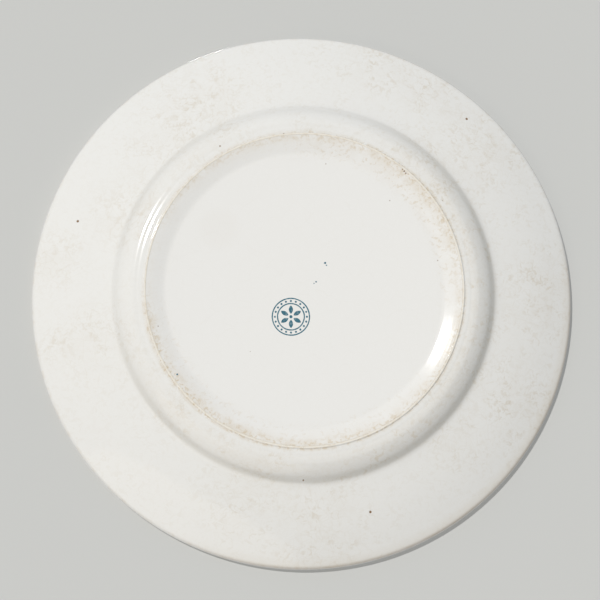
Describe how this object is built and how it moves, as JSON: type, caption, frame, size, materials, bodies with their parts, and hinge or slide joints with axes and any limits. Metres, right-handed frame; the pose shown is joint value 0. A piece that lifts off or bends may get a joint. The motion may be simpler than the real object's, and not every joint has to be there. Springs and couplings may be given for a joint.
{
  "type": "dinner plate",
  "caption": "Round glazed earthenware dinner plate with a flat well, a rim that turns up gently and a narrow foot ring around a recessed base.",
  "frame": {"origin": "centre of the foot ring, in the plane of its land, which is the table that the plate stands on", "axes": "+Z up out of the eating face, along the plate's axis; seen from below with +Y up, +X is to the left and the mark lies at (6, -12.5) mm"},
  "size_m": [0.245, 0.245, 0.0265],
  "materials": {
    "clay": "matt fired earthenware, rubbed smooth and stained where the plate stands",
    "glaze": "glossy ivory-white lead-type glaze with faint tan clouding from age",
    "ink": "teal-blue ceramic printing ink, slightly worn"
  },
  "bodies": {
    "root": {"clay_body": "clay", "glaze_coat": "glaze", "base_glaze": "glaze", "backstamp": "ink", "print_flecks": "ink"}
  },
  "joints": []
}
